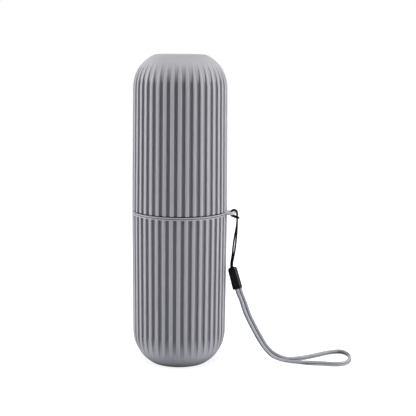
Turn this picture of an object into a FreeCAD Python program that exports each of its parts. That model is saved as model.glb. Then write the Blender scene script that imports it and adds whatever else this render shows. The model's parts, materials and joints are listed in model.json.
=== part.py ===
import FreeCAD, Part
import math
import os
import re

import Sketcher
from FreeCAD import Placement, Rotation, Vector

# A travel case for a toothbrush: two fluted cups that push together, with a wrist lanyard.
# The origin is the middle of the base, +Z is up and the lanyard's lug points along +X.

# Driving dimensions: millimetres, degrees and counts
SIZES = {
    # Case
    "case_height": 205,
    "parting_height": 103,
    "crest_radius": 31.3,
    "upper_draft": 0.49,
    "lower_draft": 0.34,
    "top_shoulder_height": 21.5,
    "top_shoulder_radius": 23.3,
    "base_shoulder_height": 21.5,
    "base_shoulder_radius": 25.4,
    "flat_edge_fillet": 2.5,
    # Walls
    "upper_wall": 2.4,
    "roof_thickness": 2.4,
    "floor_thickness": 3,
    "inner_corner_fillet": 3,
    # Neck of the lower cup, inside the upper cup
    "neck_height": 12,
    "neck_wall": 1.3,
    "neck_clearance": 0.1,
    "neck_lead_in": 0.6,
    # Parting line
    "seam_gap": 0.45,
    "rim_height": 2.1,
    "rim_edge_fillet": 0.4,
    "mouth_edge_fillet": 0.5,
    # Flutes
    "flute_count": 40,
    "flute_depth": 1.5,
    "flute_width": 2.4,
    "flute_corner": 0.5,
    "flute_lip": 0.55,
    "top_fade_angle": 46,
    "base_fade_angle": 44,
    "flute_overrun": 1.5,
    "upper_flute_turn": -1.25,
    "lower_flute_turn": -2.1,
    # Lug
    "lug_reach": 6.3,
    "lug_width": 8.4,
    "lug_thickness": 1.6,
    "lug_drop": 0.45,
    "lug_root": 1.5,
    "lug_corner_radius": 3.6,
    "lug_edge_fillet": 0.4,
    "lug_bar_width": 2,
    "lug_hole_width": 2.2,
    "lug_hole_length": 4.8,
    "lug_hole_corner": 0.8,
    # Clip
    "clip_length": 14.8,
    "clip_width": 6.1,
    "clip_depth": 4.9,
    "clip_corner_radius": 2,
    "clip_taper": 1.3,
    "clip_top_fillet": 1.7,
    "clip_bottom_fillet": 0.4,
    "clip_tilt": 15.5,
    "clip_offset_x": 3.3,
    "clip_offset_y": 0.25,
    "clip_bottom_height": 51.3,
    # Cord and strap
    "lanyard_yaw": 11.2,
    "cord_diameter": 1,
    "cord_pitch": 1.3,
    "cord_inset": 0.8,
    "cord_socket_depth": 3,
    "strap_diameter": 2,
    "strap_pitch": 2.3,
    "strap_socket_depth": 6,
    "socket_clearance": 0.06,
}

# Each arc of a cord uses this share of the shorter of its two runs
ARC_SHARE = 0.45

doc = FreeCAD.newDocument("ToothbrushTravelCase")
sheet = doc.addObject("Spreadsheet::Sheet", "Sizes")
for row, (name, value) in enumerate(SIZES.items(), start=1):
    sheet.set(f"A{row}", name)
    sheet.set(f"B{row}", str(value))
    sheet.setAlias(f"B{row}", name)
doc.recompute()


def on_sheet(formula):
    """A formula in the sheet's names, as an expression that any object can use."""
    return re.sub(r"[a-z]+(?:_[a-z]+)+", lambda match: f"Sizes.{match.group()}", formula)


def number(formula):
    """The present value of such a formula."""
    return float(sheet.evalExpression(on_sheet(formula)))


def bind(thing, **formulas):
    for name, formula in formulas.items():
        thing.setExpression(name.replace("__", "."), on_sheet(formula))


def new_body(label):
    body = doc.addObject("PartDesign::Body", label.title().replace("_", ""))
    body.Label = label
    return body


def origin(body, role):
    return next(item for item in body.Origin.OriginFeatures if item.Role == role)


# The axis of a sketch on each plane that points up in the part
UPRIGHT = {"XZ_Plane": Vector(0, 1, 0), "XY_Plane": Vector(0, 0, 1)}


def new_sketch(body, name, plane, height="0", turn=None):
    """A sketch on one of the body's planes, at a height and turned about the part's upright axis."""
    sketch = body.newObject("Sketcher::SketchObject", name)
    sketch.AttachmentSupport = [(origin(body, plane), "")]
    sketch.MapMode = "FlatFace"
    bind(sketch, AttachmentOffset__Base__z=height)
    if turn:
        sketch.AttachmentOffset = Placement(Vector(), Rotation(UPRIGHT[plane], number(turn)))
        bind(sketch, AttachmentOffset__Rotation__Angle=turn)
    return sketch


def drive(sketch, formula, kind, *where):
    """A dimension of the sketch, held at the formula's value."""
    start = number(formula)
    if kind == "Angle":
        start = math.radians(start)
    index = sketch.addConstraint(Sketcher.Constraint(kind, *where, start))
    sketch.setExpression(f"Constraints[{index}]", on_sheet(formula))


def relate(sketch, kind, *where):
    sketch.addConstraint(Sketcher.Constraint(kind, *where))


def line(sketch, start, end):
    return sketch.addGeometry(Part.LineSegment(Vector(*start, 0), Vector(*end, 0)))


def arc(sketch, centre, radius, start, end):
    circle = Part.Circle(Vector(*centre, 0), Vector(0, 0, 1), radius)
    return sketch.addGeometry(Part.ArcOfCircle(circle, start, end))


def polygon(sketch, corners):
    """A closed outline of straight sides, each corner held at two formulas."""
    points = [(number(x), number(y)) for x, y in corners]
    sides = [line(sketch, point, points[(i + 1) % len(points)]) for i, point in enumerate(points)]
    for i, side in enumerate(sides):
        relate(sketch, "Coincident", side, 2, sides[(i + 1) % len(sides)], 1)
        drive(sketch, corners[i][0], "DistanceX", side, 1)
        drive(sketch, corners[i][1], "DistanceY", side, 1)


def rectangle(sketch, left, low, right, high):
    polygon(sketch, [(left, low), (right, low), (right, high), (left, high)])


def edges_where(feature, test):
    """The names of the feature's edges whose bounding boxes pass a test."""
    doc.recompute()
    return [f"Edge{i}" for i, edge in enumerate(feature.Shape.Edges, start=1) if test(edge.BoundBox)]


def close(a, b):
    return abs(a - b) < 1e-4


def ring_edges(feature, radius, height):
    """The round edges about the Z axis with this radius at this height."""

    def matches(box):
        flat = close(box.ZMin, height) and close(box.ZMax, height)
        return flat and close(box.XMax, radius) and close(box.XMin, -radius)

    return edges_where(feature, matches)


def fillet(body, name, radius, feature, edges):
    """A fillet of one radius on the named edges."""
    item = body.newObject("PartDesign::Fillet", name)
    item.Base = (feature, edges)
    bind(item, Radius=radius)
    doc.recompute()
    return item


# Each cup: the heights of its mouth and end, which way its end lies from its mouth, and its own sizes
CUPS = {
    "upper_cup": {
        "side": 1,
        "mouth": "parting_height + seam_gap",
        "end": "case_height",
        "shoulder": "top_shoulder",
        "draft": "upper_draft",
        "wall": "upper_wall",
        "thickness": "roof_thickness",
        "fade": "top_fade_angle",
        "turn": "upper_flute_turn",
        "flute_start": "parting_height + seam_gap - flute_overrun",
        "flute_start_shift": "flute_overrun * tan(upper_draft * 1 deg)",
    },
    "lower_cup": {
        "side": -1,
        "mouth": "parting_height",
        "end": "0",
        "shoulder": "base_shoulder",
        "draft": "lower_draft",
        "wall": "(upper_wall + neck_clearance + neck_wall)",
        "thickness": "floor_thickness",
        "fade": "base_fade_angle",
        "turn": "lower_flute_turn",
        "flute_start": "parting_height - rim_height",
        "flute_start_shift": "0 - rim_height * tan(lower_draft * 1 deg)",
    },
}


def shoulder_centre(cup):
    """The height of the middle of a cup's shoulder arc."""
    return f"{cup['end']} - {cup['side']} * {cup['shoulder']}_height"


def side_arc(sketch, side, centre, radius, near, far):
    """An arc from one angle above (or below) level to another, and its poles at those two angles."""
    if side > 0:
        return arc(sketch, centre, radius, near, far), 1, 2
    return arc(sketch, centre, radius, -far, -near), 2, 1


class WallProfile:
    """One face of a cup's wall in a sketch: straight wall, shoulder arc, small edge arc and flat end."""

    def __init__(self, sketch, cup, mouth_radius, shoulder_radius, end, edge_radius):
        side = cup["side"]
        draft = math.radians(number(cup["draft"]))
        mouth = (number(mouth_radius), number(cup["mouth"]))
        flat = number(end)
        edge = number(edge_radius)
        middle_z = number(shoulder_centre(cup))
        lean = math.tan(draft) * abs(middle_z - mouth[1])
        middle_x = mouth[0] - lean - shoulder_radius / math.cos(draft)
        drop = abs(flat - middle_z) - edge
        edge_x = middle_x + math.sqrt((shoulder_radius - edge) ** 2 - drop**2)
        edge_z = middle_z + side * drop
        rise = math.asin(drop / (shoulder_radius - edge))
        start = (
            middle_x + shoulder_radius * math.cos(draft),
            middle_z + side * shoulder_radius * math.sin(draft),
        )
        self.wall = line(sketch, mouth, start)
        self.shoulder, wall_pole, edge_pole = side_arc(
            sketch, side, (middle_x, middle_z), shoulder_radius, draft, rise
        )
        self.edge, first_pole, flat_pole = side_arc(sketch, side, (edge_x, edge_z), edge, rise, math.pi / 2)
        self.flat = line(sketch, (edge_x, flat), (0, flat))
        relate(sketch, "Tangent", self.wall, 2, self.shoulder, wall_pole)
        relate(sketch, "Tangent", self.shoulder, edge_pole, self.edge, first_pole)
        relate(sketch, "Tangent", self.edge, flat_pole, self.flat, 1)
        relate(sketch, "Horizontal", self.flat)
        relate(sketch, "PointOnObject", self.flat, 2, -2)
        drive(sketch, mouth_radius, "DistanceX", self.wall, 1)
        drive(sketch, cup["mouth"], "DistanceY", self.wall, 1)
        drive(sketch, end, "DistanceY", self.flat, 2)
        drive(sketch, edge_radius, "Radius", self.edge)


def cup_shell(body, cup):
    """The plain shell of one cup: drafted wall, round shoulder and flat end, outside and inside."""
    side = cup["side"]
    sketch = new_sketch(body, f"{body.Name}Profile", "XZ_Plane")
    shoulder = number(f"{cup['shoulder']}_radius")
    draft = math.radians(number(cup["draft"]))
    inner_end = f"{cup['end']} - {side} * {cup['thickness']}"
    outer = WallProfile(sketch, cup, "crest_radius", shoulder, cup["end"], "flat_edge_fillet")
    inner = WallProfile(
        sketch,
        cup,
        f"crest_radius - {cup['wall']}",
        shoulder - number(cup["wall"]) * math.cos(draft),
        inner_end,
        "inner_corner_fillet",
    )
    drive(sketch, f"{side} * (90 + {cup['draft']})", "Angle", outer.wall)
    drive(sketch, shoulder_centre(cup), "DistanceY", outer.shoulder, 3)
    drive(sketch, f"{cup['shoulder']}_radius", "Radius", outer.shoulder)
    relate(sketch, "Coincident", outer.shoulder, 3, inner.shoulder, 3)
    relate(sketch, "Parallel", outer.wall, inner.wall)
    crest = number("crest_radius")
    level = number(cup["mouth"])
    mouth = line(sketch, (crest, level), (crest - number(cup["wall"]), level))
    axis = line(sketch, (0, number(cup["end"])), (0, number(inner_end)))
    relate(sketch, "Coincident", mouth, 1, outer.wall, 1)
    relate(sketch, "Coincident", mouth, 2, inner.wall, 1)
    relate(sketch, "Coincident", axis, 1, outer.flat, 2)
    relate(sketch, "Coincident", axis, 2, inner.flat, 2)

    shell = body.newObject("PartDesign::Revolution", f"{body.Name}Shell")
    shell.Profile = sketch
    shell.ReferenceAxis = (sketch, ["V_Axis"])
    shell.Angle = 360
    doc.recompute()
    return shell


def cut_flutes(body, cup):
    """Grooves down the wall, each fading out on the shoulder."""
    side = cup["side"]
    start_x = f"crest_radius - flute_depth + {cup['flute_start_shift']}"
    centre = shoulder_centre(cup)
    shoulder = f"{cup['shoulder']}_radius"
    # The floor of a groove meets the shoulder's surface at the fade angle
    inward = f"({shoulder} * (1 - cos({cup['fade']} * 1 deg)) - flute_depth)"
    floor_radius = f"(({inward})^2 + ({shoulder} * sin({cup['fade']} * 1 deg))^2) / (2 * {inward})"
    path_end = f"{cup['end']} + {side} * flute_depth"

    path = new_sketch(body, f"{body.Name}FlutePath", "XZ_Plane", turn=cup["turn"])
    draft = math.radians(number(cup["draft"]))
    start = (number(start_x), number(cup["flute_start"]))
    radius = number(floor_radius)
    middle_z = number(centre)
    middle_x = start[0] - math.tan(draft) * abs(middle_z - start[1]) - radius / math.cos(draft)
    rise = math.asin(abs(number(path_end) - middle_z) / radius)
    turn = (middle_x + radius * math.cos(draft), middle_z + side * radius * math.sin(draft))
    straight = line(path, start, turn)
    bend, wall_pole, end_pole = side_arc(path, side, (middle_x, middle_z), radius, draft, rise)
    relate(path, "Tangent", straight, 2, bend, wall_pole)
    drive(path, start_x, "DistanceX", straight, 1)
    drive(path, cup["flute_start"], "DistanceY", straight, 1)
    drive(path, f"{side} * (90 + {cup['draft']})", "Angle", straight)
    drive(path, centre, "DistanceY", bend, 3)
    drive(path, floor_radius, "Radius", bend)
    drive(path, path_end, "DistanceY", bend, end_pole)

    section = flute_section(body, start_x, cup["flute_start"], cup["turn"])
    groove = body.newObject("PartDesign::SubtractivePipe", f"{body.Name}Flute")
    groove.Profile = section
    groove.Spine = (path, ["Edge1", "Edge2"])
    doc.recompute()
    flutes = body.newObject("PartDesign::PolarPattern", f"{body.Name}Flutes")
    flutes.Originals = [groove]
    flutes.Axis = (origin(body, "Z_Axis"), [""])
    flutes.Angle = 360
    # The cuts leave no split faces to merge
    flutes.Refine = False
    bind(flutes, Occurrences="flute_count")
    body.Tip = flutes
    doc.recompute()
    return flutes


def flute_section(body, floor, height, turn):
    """The groove's section: a flat floor, round corners, straight sides and rounded lips."""
    sketch = new_sketch(body, f"{body.Name}FluteSection", "XY_Plane", height, turn)
    crest = f"{floor} + flute_depth"
    outside = f"{floor} + 2 * flute_depth"
    half = number("flute_width / 2")
    corner = number("flute_corner")
    lip = number("flute_lip")
    low = number(floor)
    lip_x = number(crest) - lip
    high = number(outside)
    wide = half + lip
    right = math.pi / 2

    bottom = line(sketch, (low, corner - half), (low, half - corner))
    far_corner = arc(sketch, (low + corner, half - corner), corner, right, 2 * right)
    far_side = line(sketch, (low + corner, half), (lip_x, half))
    far_lip = arc(sketch, (lip_x, wide), lip, -right, 0)
    far_out = line(sketch, (lip_x + lip, wide), (high, wide))
    top = line(sketch, (high, wide), (high, -wide))
    near_out = line(sketch, (high, -wide), (lip_x + lip, -wide))
    near_lip = arc(sketch, (lip_x, -wide), lip, 0, right)
    near_side = line(sketch, (lip_x, -half), (low + corner, -half))
    near_corner = arc(sketch, (low + corner, corner - half), corner, 2 * right, 3 * right)

    relate(sketch, "Tangent", bottom, 2, far_corner, 2)
    relate(sketch, "Tangent", far_corner, 1, far_side, 1)
    relate(sketch, "Tangent", far_side, 2, far_lip, 1)
    relate(sketch, "Coincident", far_lip, 2, far_out, 1)
    relate(sketch, "Coincident", far_out, 2, top, 1)
    relate(sketch, "Coincident", top, 2, near_out, 1)
    relate(sketch, "Coincident", near_out, 2, near_lip, 1)
    relate(sketch, "Tangent", near_lip, 2, near_side, 1)
    relate(sketch, "Tangent", near_side, 2, near_corner, 2)
    relate(sketch, "Tangent", near_corner, 1, bottom, 1)
    relate(sketch, "Equal", far_corner, near_corner)
    relate(sketch, "Equal", far_lip, near_lip)
    relate(sketch, "Vertical", bottom)
    relate(sketch, "Vertical", top)
    for side in (far_side, far_out, near_out, near_side):
        relate(sketch, "Horizontal", side)
    relate(sketch, "Horizontal", far_lip, 3, far_lip, 2)
    relate(sketch, "Horizontal", near_lip, 3, near_lip, 1)
    relate(sketch, "Symmetric", far_side, 2, near_side, 1, -1)
    drive(sketch, "flute_corner", "Radius", far_corner)
    drive(sketch, "flute_lip", "Radius", far_lip)
    drive(sketch, "flute_width / 2", "DistanceY", far_side, 2)
    drive(sketch, floor, "DistanceX", bottom, 1)
    drive(sketch, crest, "DistanceX", far_out, 1)
    drive(sketch, outside, "DistanceX", top, 1)
    return sketch


def make_upper_cup():
    body = new_body("upper_cup")
    shell = cup_shell(body, CUPS["upper_cup"])
    mouth = ring_edges(shell, number("crest_radius"), number(CUPS["upper_cup"]["mouth"]))
    fillet(body, "MouthEdge", "mouth_edge_fillet", shell, mouth)
    cut_flutes(body, CUPS["upper_cup"])
    return body


def add_neck(body):
    """The round spigot that the upper cup pushes onto, drafted as the upper cup's inside is."""
    outside = "crest_radius - upper_wall - neck_clearance"
    inside = f"{outside} - neck_wall"
    lean = "tan(upper_draft * 1 deg)"
    top = "parting_height + neck_height"
    # The neck's foot is sunk into the wall by its own thickness, so that the two join as one
    foot = "parting_height - neck_wall"
    inner_lean = "tan(lower_draft * 1 deg)"
    sketch = new_sketch(body, "NeckProfile", "XZ_Plane")
    polygon(
        sketch,
        [
            (f"{outside} + neck_wall * {lean}", foot),
            (f"{outside} - (neck_height - neck_lead_in) * {lean}", f"{top} - neck_lead_in"),
            (f"{outside} - neck_height * {lean} - neck_lead_in", top),
            (f"{inside} + neck_height * {inner_lean}", top),
            (f"{inside} - neck_wall * {inner_lean}", foot),
        ],
    )
    neck = body.newObject("PartDesign::Revolution", "Neck")
    neck.Profile = sketch
    neck.ReferenceAxis = (sketch, ["V_Axis"])
    neck.Angle = 360
    doc.recompute()
    return neck


LUG_TIP = "crest_radius + lug_reach"
LUG_TOP = "parting_height - lug_drop"


def add_lug(body):
    """The flat eye on the rim band that the lanyard hangs from."""
    hole_end = f"{LUG_TIP} - lug_bar_width"
    hole_start = f"{hole_end} - lug_hole_width"
    root = "crest_radius - lug_root"
    sketch = new_sketch(body, "LugOutline", "XY_Plane", f"{LUG_TOP} - lug_thickness")
    for near, far, width in ((root, LUG_TIP, "lug_width"), (hole_start, hole_end, "lug_hole_length")):
        half = f"{width} / 2"
        rectangle(sketch, near, f"0 - {half}", far, half)
    lug = body.newObject("PartDesign::Pad", "Lug")
    lug.Profile = sketch
    bind(lug, Length="lug_thickness")

    def upright_at(x, half):
        def matches(box):
            upright = close(box.XMin, x) and close(box.XMax, x) and close(box.YMin, box.YMax)
            return upright and close(abs(box.YMin), half)

        return matches

    tip = edges_where(lug, upright_at(number(LUG_TIP), number("lug_width / 2")))
    lug = fillet(body, "LugCorners", "lug_corner_radius", lug, tip)
    half_hole = number("lug_hole_length / 2")
    corners = []
    for x in (hole_start, hole_end):
        corners += edges_where(lug, upright_at(number(x), half_hole))
    lug = fillet(body, "LugHoleCorners", "lug_hole_corner", lug, corners)
    top = number(LUG_TOP)
    levels = (top, top - number("lug_thickness"))
    inside = number("crest_radius - lug_root / 2")
    outside = number("crest_radius + lug_edge_fillet")

    def lug_rim(box):
        flat = close(box.ZMin, box.ZMax) and any(close(box.ZMin, level) for level in levels)
        return flat and box.XMin > inside and box.XMax > outside

    return fillet(body, "LugEdges", "lug_edge_fillet", lug, edges_where(lug, lug_rim))


def make_lower_cup():
    body = new_body("lower_cup")
    shell = cup_shell(body, CUPS["lower_cup"])
    rim = ring_edges(shell, number("crest_radius"), number("parting_height"))
    fillet(body, "RimEdge", "rim_edge_fillet", shell, rim)
    add_neck(body)
    add_lug(body)
    cut_flutes(body, CUPS["lower_cup"])
    return body


def clip_placement():
    """The clip's frame: its bottom face at the origin, its length along +Z, its width along X."""
    place = Vector(
        number(f"{LUG_TIP} - lug_bar_width / 2 + clip_offset_x"),
        number("clip_offset_y"),
        number("clip_bottom_height"),
    )
    yaw = Rotation(Vector(0, 0, 1), number("lanyard_yaw"))
    tilt = Rotation(Vector(0, 1, 0), -number("clip_tilt"))
    return Placement(place, yaw.multiply(tilt))


def make_clip():
    """The moulded sleeve, with two sockets below for the strap and two above for the cord."""
    body = new_body("lanyard_clip")
    sketch = new_sketch(body, "ClipSection", "XY_Plane")
    wide = "clip_width / 2"
    deep = "clip_depth / 2"
    rectangle(sketch, f"0 - {wide}", f"0 - {deep}", wide, deep)
    sleeve = body.newObject("PartDesign::Pad", "Sleeve")
    sleeve.Profile = sketch
    bind(sleeve, Length="clip_length", TaperAngle="0 - clip_taper")
    length = number("clip_length")
    long_edges = edges_where(sleeve, lambda box: close(box.ZMax - box.ZMin, length))
    sleeve = fillet(body, "SleeveCorners", "clip_corner_radius", sleeve, long_edges)
    for name, size, level in (("Top", "clip_top_fillet", length), ("Bottom", "clip_bottom_fillet", 0)):
        rim = edges_where(sleeve, lambda box: close(box.ZMin, level) and close(box.ZMax, level))
        sleeve = fillet(body, f"Sleeve{name}", size, sleeve, rim)
    sockets = {
        "Strap": ("strap_diameter", "strap_socket_depth", "0"),
        "Cord": ("cord_diameter", "clip_length", "clip_length - cord_socket_depth"),
    }
    for name, (diameter, depth, level) in sockets.items():
        for sign in (-1, 1):
            hole = body.newObject("PartDesign::SubtractiveCylinder", f"{name}Socket")
            hole.AttachmentSupport = [(origin(body, "XY_Plane"), "")]
            hole.MapMode = "FlatFace"
            along_width = f"{sign} * strap_pitch / 2" if name == "Strap" else "0 - cord_inset"
            along_depth = "0" if name == "Strap" else f"{sign} * cord_pitch / 2"
            bind(
                hole,
                Radius=f"{diameter} / 2 + socket_clearance",
                Height=depth,
                AttachmentOffset__Base__x=along_width,
                AttachmentOffset__Base__y=along_depth,
                AttachmentOffset__Base__z=level,
            )
            doc.recompute()
    body.Placement = clip_placement()
    doc.recompute()
    return body


def rounded_route(points):
    """Straight runs joined by tangent arcs, as a wire, with the radii of its arcs."""
    edges = []
    radii = []
    here = points[0]
    for before, corner, after in zip(points, points[1:], points[2:]):
        back = before - corner
        ahead = after - corner
        turn = math.pi - back.getAngle(ahead)
        reach = ARC_SHARE * min(back.Length, ahead.Length)
        radius = reach / math.tan(turn / 2)
        back.normalize()
        ahead.normalize()
        inward = back + ahead
        inward.normalize()
        middle = corner + inward * (radius / math.cos(turn / 2) - radius)
        leave = corner + ahead * reach
        enter = corner + back * reach
        edges.append(Part.LineSegment(here, enter).toShape())
        edges.append(Part.Arc(enter, middle, leave).toShape())
        radii.append(radius)
        here = leave
    edges.append(Part.LineSegment(here, points[-1]).toShape())
    return Part.Wire(edges), radii


def make_tube(label, points, diameter):
    """A round cord along a route."""
    wire, radii = rounded_route(points)
    stem = label.title().replace("_", "")
    route = doc.addObject("Part::Feature", f"{stem}Route")
    route.Shape = wire
    section = doc.addObject("Part::Circle", f"{stem}Section")
    bind(section, Radius=f"{diameter} / 2")
    section.Placement = Placement(points[0], Rotation(Vector(0, 0, 1), points[1] - points[0]))
    tube = doc.addObject("Part::Sweep", stem)
    tube.Label = label
    tube.Sections = [section]
    tube.Spine = (route, [])
    tube.Solid = True
    tube.Frenet = False
    doc.recompute()
    plain = math.pi * number(diameter) ** 2 / 4 * wire.Length
    print(f"{label}: length {wire.Length:.1f} mm, tightest arc {min(radii):.2f} mm")
    print(f"{label}: arcs {' '.join(f'{radius:.1f}' for radius in radii)}")
    print(f"{label}: volume {tube.Shape.Volume:.2f}, section times length {plain:.2f} cubic millimetres")
    return tube


def clip_point(across, deep, along):
    """A point of the clip's frame, in the part's frame."""
    return clip_placement().multVec(Vector(across, deep, along))


# The hitch on the far side of the lug, from the bar's middle: over the bar, down the hole, out
# below it and round the front of the two hanging strands. The near side is its mirror image.
HITCH = [
    (2.1, 0.56, 1.0),
    (1.0, 0.56, 2.4),
    (-0.9, 0.56, 2.4),
    (-2.1, 0.6, 1.1),
    (-2.1, 0.75, -0.8),
    (-0.9, 1.35, -2.1),
    (0.6, 1.75, -2.3),
    (2.7, 1.75, -2.7),
    (3.7, 0.75, -2.85),
]
# The two hanging strands, from the clip up, with half a twist between them
FAR_STRAND = [
    (36.6, -0.85, 74),
    (37.55, -0.25, 80),
    (38.25, 0.25, 86),
    (38.65, 0.56, 92),
    (38.6, 0.6, 97),
    (38.75, 0.58, 100.3),
]
NEAR_STRAND = [
    (35.7, -0.1, 74),
    (36.35, -0.4, 80),
    (37.35, -0.55, 86),
    (38.35, -0.6, 92),
    (38.9, -0.56, 97),
    (38.75, -0.6, 100.3),
]
# The strap from the clip down its near strand, round the loop on the floor and up its far strand
STRAP = [
    (42.0, 0.65, 43.3),
    (45.0, 1.2, 35.0),
    (49.6, 2.1, 25.1),
    (54.9, 3.0, 15.0),
    (60.0, 3.9, 8.0),
    (65.6, 4.6, 3.6),
    (72.5, 5.6, 1.5),
    (80.5, 6.3, 1.5),
    (89.0, 6.0, 1.5),
    (97.5, 6.5, 1.5),
    (105.5, 8.0, 1.5),
    (111.3, 13.5, 1.5),
    (113.9, 21.5, 1.5),
    (112.3, 30.0, 1.5),
    (106.0, 35.6, 1.5),
    (98.5, 33.2, 1.5),
    (91.5, 27.0, 1.5),
    (84.5, 20.0, 1.5),
    (78.0, 13.2, 1.5),
    (72.3, 8.6, 2.6),
    (66.6, 7.0, 5.5),
    (61.9, 5.9, 9.9),
    (57.1, 4.7, 16.3),
    (52.4, 3.4, 24.2),
    (48.3, 2.3, 32.6),
    (44.7, 1.3, 42.3),
]
# How far a cord runs straight out of the clip before its first bend
CORD_STRAIGHT = 2.6
STRAP_STRAIGHT = 3.2


def make_cord():
    """The doubled cord: up one strand, through its own bight on the lug and down the other strand."""
    bar = Vector(number(f"{LUG_TIP} - lug_bar_width / 2"), 0, number(f"{LUG_TOP} - lug_thickness / 2"))
    over = [bar + Vector(*point) for point in HITCH]
    back = [bar + Vector(x, -y, z) for x, y, z in reversed(HITCH)]
    length = number("clip_length")
    levels = (length - number("cord_socket_depth"), length + CORD_STRAIGHT)
    half = number("cord_pitch / 2")
    inset = -number("cord_inset")
    start = [clip_point(inset, -half, level) for level in levels]
    finish = [clip_point(inset, half, level) for level in reversed(levels)]
    up = [Vector(*point) for point in FAR_STRAND]
    down = [Vector(*point) for point in reversed(NEAR_STRAND)]
    return make_tube("lanyard_cord", start + up + over + back + down + finish, "cord_diameter")


def make_strap():
    """The wrist loop, with both its ends in the clip."""
    levels = (number("strap_socket_depth"), -STRAP_STRAIGHT)
    half = number("strap_pitch / 2")
    start = [clip_point(-half, 0, level) for level in levels]
    finish = [clip_point(half, 0, level) for level in reversed(levels)]
    return make_tube("wrist_strap", start + [Vector(*point) for point in STRAP] + finish, "strap_diameter")


pieces = [make_upper_cup(), make_lower_cup(), make_cord(), make_clip(), make_strap()]
doc.recompute()

failed = [item.Name for item in doc.Objects if {"Invalid", "Error"} & set(item.State)]
if failed:
    raise RuntimeError(f"objects that did not build: {failed}")
for piece in pieces:
    shape = piece.Shape
    if shape.isNull() or not shape.isValid() or len(shape.Solids) != 1:
        raise RuntimeError(f"{piece.Label} is not one valid solid")

os.makedirs("parts", exist_ok=True)
for piece in pieces:
    piece.Shape.exportStep(f"parts/{piece.Label}.step")
    print(f"{piece.Label}: volume {piece.Shape.Volume:.1f} cubic millimetres")
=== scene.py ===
import json
import math
from dataclasses import dataclass

import bmesh
import bpy
from mathutils import Matrix, Vector

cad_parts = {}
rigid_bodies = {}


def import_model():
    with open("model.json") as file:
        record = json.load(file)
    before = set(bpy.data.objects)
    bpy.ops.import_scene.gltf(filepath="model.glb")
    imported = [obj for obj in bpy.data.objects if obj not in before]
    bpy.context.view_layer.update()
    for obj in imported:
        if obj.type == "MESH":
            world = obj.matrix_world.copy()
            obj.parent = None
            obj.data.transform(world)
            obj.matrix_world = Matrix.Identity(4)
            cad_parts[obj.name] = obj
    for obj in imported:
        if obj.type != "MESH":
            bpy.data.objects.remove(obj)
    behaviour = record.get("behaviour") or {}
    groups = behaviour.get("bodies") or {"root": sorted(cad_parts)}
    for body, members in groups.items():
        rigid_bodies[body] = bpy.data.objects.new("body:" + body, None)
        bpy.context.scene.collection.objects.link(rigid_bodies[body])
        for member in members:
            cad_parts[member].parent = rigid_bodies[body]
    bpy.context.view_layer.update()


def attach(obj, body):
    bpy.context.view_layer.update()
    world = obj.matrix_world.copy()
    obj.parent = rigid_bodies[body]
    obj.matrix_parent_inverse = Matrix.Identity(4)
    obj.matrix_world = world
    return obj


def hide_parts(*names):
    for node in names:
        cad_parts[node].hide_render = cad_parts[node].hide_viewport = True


# A fluted toothbrush travel case with a wrist lanyard, dressed for the picture.
# Sizes are in millimetres here and become metres as each mesh is made.

for item in list(bpy.data.objects):
    bpy.data.objects.remove(item)

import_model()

MM = 0.001

# The case
PARTING = 102.5
SEAM_GAP = 0.68
CREST_RADIUS = 31.55
INNER_EDGE = 3
RIM_HEIGHT = 1.95
RIM_EDGE = 0.35
# A fine line round the rim: where it starts and ends below the rim's top, and how deep it is
RIM_LINE = (0.7, 1.25)
RIM_LINE_DEPTH = 0.6
RIM_LINE_WALL = 0.08
# The ledge below the rim, over which the grooves reach their depth
LEDGE_DROP = 0.03
# The channel between the rim and the neck, which keeps the parting line dark
RIM_LAND = 0.75
CHANNEL_DEPTH = 0.6
CHANNEL_BEVEL = 0.1
CHANNEL_LEAN = 0.15
# Painted shade of faces in that channel and in the rim's line, on a scale where a groove's floor has about 1
SEAM_SHADE = 2
RIM_LINE_SHADE = 1.3
MOUTH_EDGE = 0.3

# The neck of the lower cup
NECK_HEIGHT = 12
NECK_WALL = 1.3
NECK_CLEARANCE = 0.1
NECK_LEAD_IN = 0.6
# The turn of the lead-in: how far in from the neck's outside it is, and how far below its top
NECK_TURN_IN = 0.42
NECK_TURN_DOWN = 0.12

# The flutes: a flat floor, round corners, sides that lean a little, and round lips
FLUTE_COUNT = 40
FLUTE_DEPTH = 1.5
FLUTE_WIDTH = 2.4
FLUTE_CORNER = 0.5
FLUTE_LEAN = 0.08
FLUTE_LIP = 0.55
FLUTE_PITCH = 2 * math.pi / FLUTE_COUNT
# How softly a lip meets its crest, and a full groove's floor its sides
LIP_SOFTNESS = 0.05 * FLUTE_DEPTH
FLOOR_SOFTNESS = 0.15
# On a shoulder the grooves leave their full depth over this angle and thin out by this power
FADE_STEP = math.radians(5)
FADE_POWER = 1.35

# The meshes of the cups: points on the arcs of the wall's line and of a groove's section
OUTER_ARC_POINTS = 24
INNER_ARC_POINTS = 11
EDGE_POINTS = 7
GROOVE_ARC_POINTS = 6
# Rings near a cup's mouth, as distances from it, and near the rim's foot, as distances from that
MOUTH_RINGS = (0, 0.02, 0.06, 0.13, 0.2, MOUTH_EDGE, 1.2)
INNER_MOUTH_RINGS = (0, 0.3)
RIM_EDGE_RINGS = (0, 0.02, 0.06, 0.13, 0.22, RIM_EDGE)
RIM_FOOT_RING = 0.06
LEDGE_RINGS = (0.1, 0.6)
# Rings on a flat end, as shares of its radius
FLAT_RINGS = (0.7, 0.3)
# Mesh columns of a crest, as shares of its half width between lip and middle
CREST_COLUMNS = (0.5, 1)
# Nearer to the axis than this the columns of the mesh close up as spokes
SPOKE_RADIUS = 22

# The lug
LUG_ROOT = 29.8
LUG_TIP = 37.6
LUG_HALF_WIDTH = 4.2
LUG_LOW = 101.05
LUG_HIGH = 103.15
LUG_EDGE = 0.8
LUG_EDGE_POINTS = 5
LUG_TIP_CORNER = 3.6
LUG_ROOT_CORNER = 0.3
LUG_HOLE = (33.4, 35.6)
LUG_HOLE_HALF = 2.4
LUG_HOLE_CORNER = 0.8

# Points on each rounded corner of the lug and of the clip
CORNER_POINTS = 9

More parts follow.
